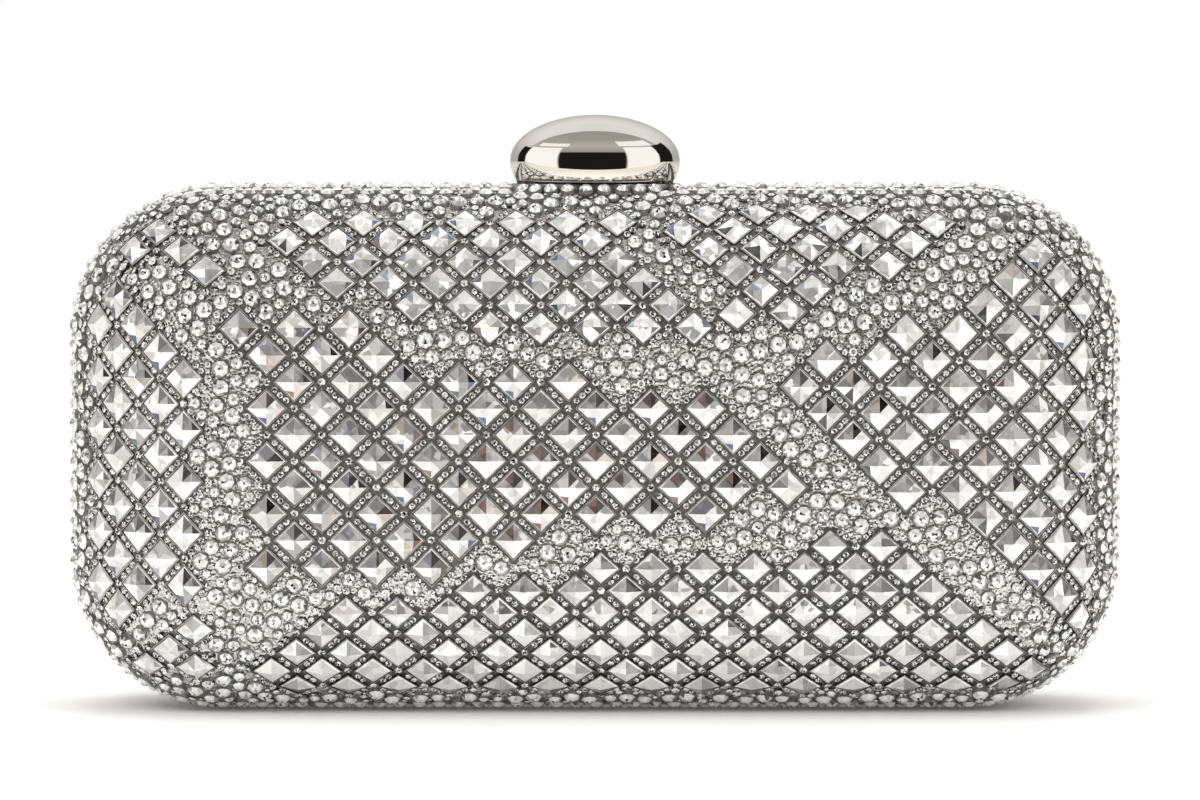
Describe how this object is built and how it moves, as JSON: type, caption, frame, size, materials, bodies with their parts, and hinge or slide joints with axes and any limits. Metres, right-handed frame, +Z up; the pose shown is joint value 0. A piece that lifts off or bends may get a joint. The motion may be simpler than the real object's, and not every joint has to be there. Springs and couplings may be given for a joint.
{
  "type": "box clutch bag",
  "caption": "Hard-cased evening clutch: two crystal-set pillow halves hinged along the bottom, with an oval chrome push clasp on top.",
  "frame": {"origin": "centre of the case's footprint, on the surface it stands on", "axes": "+X along the case's length to the viewer's right, +Y to the back, +Z up; the front faces -Y"},
  "size_m": [0.2, 0.058, 0.1132],
  "materials": {
    "square_crystal": "foil-backed square pyramid crystals in a gunmetal mesh",
    "edge_crystal": "foil-backed round crystals of mixed sizes",
    "shell_metal": "pressed, satin",
    "frame_metal": "nickel-plated, lightly polished",
    "clasp_steel": "plain",
    "knob_chrome": "mirror polished",
    "lining_cloth": "satin weave"
  },
  "bodies": {
    "back_half": {"back_shell": "shell_metal", "back_rim": "frame_metal", "back_lining": "lining_cloth", "back_edge_stones": "edge_crystal", "back_band_stones": "edge_crystal", "back_centre_stones": "square_crystal", "back_left_stones": "square_crystal", "back_right_stones": "square_crystal", "back_top_left_stones": "square_crystal", "back_top_right_stones": "square_crystal", "back_bottom_stones": "square_crystal", "back_upper_left_stones": "square_crystal", "back_lower_left_stones": "square_crystal", "hinge_pin_left": "frame_metal", "hinge_pin_right": "frame_metal", "clasp_bracket": "frame_metal", "bracket_rivet_left": "frame_metal", "bracket_rivet_right": "frame_metal", "clasp_spring_left": "clasp_steel", "clasp_spring_right": "clasp_steel"},
    "front_half": {"front_shell": "shell_metal", "front_rim": "frame_metal", "front_lining": "lining_cloth", "front_edge_stones": "edge_crystal", "front_band_stones": "edge_crystal", "front_centre_stones": "square_crystal", "front_left_stones": "square_crystal", "front_right_stones": "square_crystal", "front_top_left_stones": "square_crystal", "front_top_right_stones": "square_crystal", "front_bottom_stones": "square_crystal", "front_upper_left_stones": "square_crystal", "front_lower_left_stones": "square_crystal", "catch_plate": "clasp_steel", "catch_rivet_left": "frame_metal", "catch_rivet_right": "frame_metal"},
    "clasp_button": {"clasp_knob": "knob_chrome", "clasp_post_left": "clasp_steel", "clasp_post_right": "clasp_steel", "latch_plate": "clasp_steel", "post_nut_left": "clasp_steel", "post_nut_right": "clasp_steel"}
  },
  "joints": [
    {"name": "case_hinge", "type": "hinge", "parent": "back_half", "child": "front_half", "pos_m": [0, 0, 0.003], "axis": [1, 0, 0], "range_deg": [0, 75]},
    {"name": "clasp_press", "type": "slide", "parent": "back_half", "child": "clasp_button", "axis": [0, 0, -1], "range_m": [0, 0.0015], "stiffness_N_per_m": 1500, "springref_m": -0.002, "deforming": ["clasp_spring_left", "clasp_spring_right"]}
  ]
}
